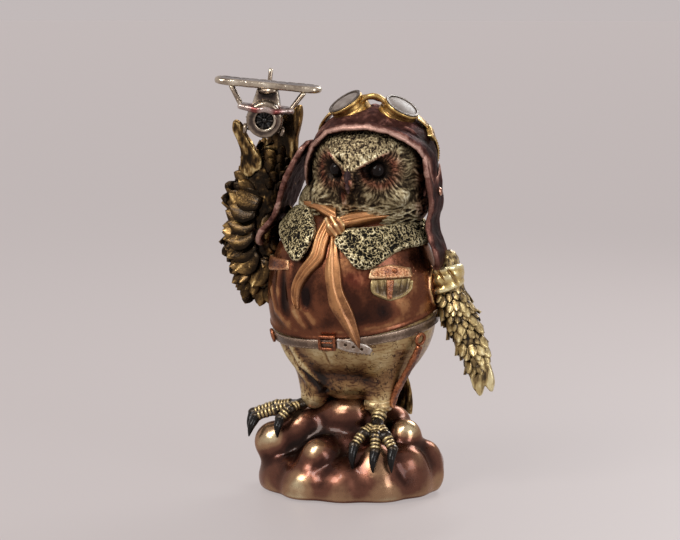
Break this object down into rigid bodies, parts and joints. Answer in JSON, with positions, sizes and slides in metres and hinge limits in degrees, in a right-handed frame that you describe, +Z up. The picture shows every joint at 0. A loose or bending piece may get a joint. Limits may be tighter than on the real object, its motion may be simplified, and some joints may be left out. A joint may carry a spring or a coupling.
{
  "type": "figurine",
  "caption": "painted cast owl in a flying helmet, goggles, fleece-collared jacket and breeches, standing on a lumpy mound and holding up a toy aeroplane in one wing",
  "frame": {"origin": "on the underside of the felt under the mound, straight below the owl's body axis", "axes": "+Z up; the owl looks along -Y; its raised right wing with the aeroplane is on -X and its hanging left wing on +X"},
  "size_m": [0.1384, 0.085, 0.2063],
  "materials": {
    "mound_lacquer": "glossy champagne-gold lacquer over copper-brown",
    "felt": "black felt",
    "pin_steel": "plain steel pin",
    "toe_gold": "old gold over black wash, scaly",
    "claw_black": "gloss black",
    "breeches_gold": "khaki gold with dark crackle",
    "feather_bronze": "dark bronze with gold edges",
    "feather_gold": "gold over black wash",
    "sleeve_gold": "bright gold",
    "belt_pewter": "grey pewter",
    "copper_trim": "red copper",
    "pocket_flap_copper": "speckled copper",
    "pocket_gold": "olive gold",
    "jacket_copper": "glossy copper-brown leather",
    "fleece": "black wash with gold fleece ridges",
    "scarf_gold": "gold shading to copper",
    "face_feather": "gold flecks over dark purple-brown",
    "beak_black": "dark gloss",
    "eye_black": "gloss black",
    "helmet_leather": "purple-brown leather with copper edges",
    "stud_copper": "copper",
    "goggle_gold": "polished gold",
    "goggle_rim": "dark gunmetal",
    "lens": "frosted pearl grey",
    "plane_pewter": "champagne pewter",
    "plane_red": "pewter with red roots",
    "intake_black": "black"
  },
  "bodies": {
    "root": {"base_mound": "mound_lacquer", "felt_sheet": "felt", "dowel_pins": "pin_steel", "right_foot": "toe_gold", "left_foot": "toe_gold", "right_claws": "claw_black", "left_claws": "claw_black", "breeches": "breeches_gold", "ankle_cuff": "breeches_gold", "tail_feathers": "feather_bronze", "raised_wing": "feather_bronze", "raised_wing_fingers": "feather_bronze", "lowered_wing": "feather_gold", "lowered_wing_fingers": "feather_gold", "sleeve_band": "sleeve_gold", "waist_belt": "belt_pewter", "belt_tongue": "belt_pewter", "buckle_frame": "copper_trim", "buckle_prong": "copper_trim", "strap_rings": "copper_trim", "leg_strap": "copper_trim", "pocket_button": "copper_trim", "pocket_flap": "pocket_flap_copper", "pocket_strap": "pocket_flap_copper", "right_pocket_flap": "pocket_flap_copper", "chest_pocket": "pocket_gold", "jacket": "jacket_copper", "right_collar": "fleece", "left_collar": "fleece", "back_collar": "fleece", "scarf_wrap": "scarf_gold", "scarf_knot": "scarf_gold", "right_scarf_tail": "scarf_gold", "left_scarf_tail": "scarf_gold", "head": "face_feather", "brow_ridges": "face_feather", "beak": "beak_black", "eyes": "eye_black", "helmet": "helmet_leather", "helmet_band": "helmet_leather", "right_ear_flap": "helmet_leather", "left_ear_flap": "helmet_leather", "flap_studs": "stud_copper", "goggle_cups": "goggle_gold", "goggle_bridge": "goggle_gold", "goggle_strap": "goggle_gold", "strap_slider": "goggle_gold", "goggle_rims": "goggle_rim", "goggle_lenses": "lens", "plane_cowling": "plane_pewter", "plane_fuselage": "plane_pewter", "plane_cabin": "plane_pewter", "plane_top_wing": "plane_pewter", "plane_struts": "plane_pewter", "plane_tail": "plane_pewter", "plane_undercarriage": "plane_pewter", "plane_wheels": "plane_pewter", "plane_low_wing": "plane_red", "plane_engine": "intake_black"}
  },
  "joints": []
}
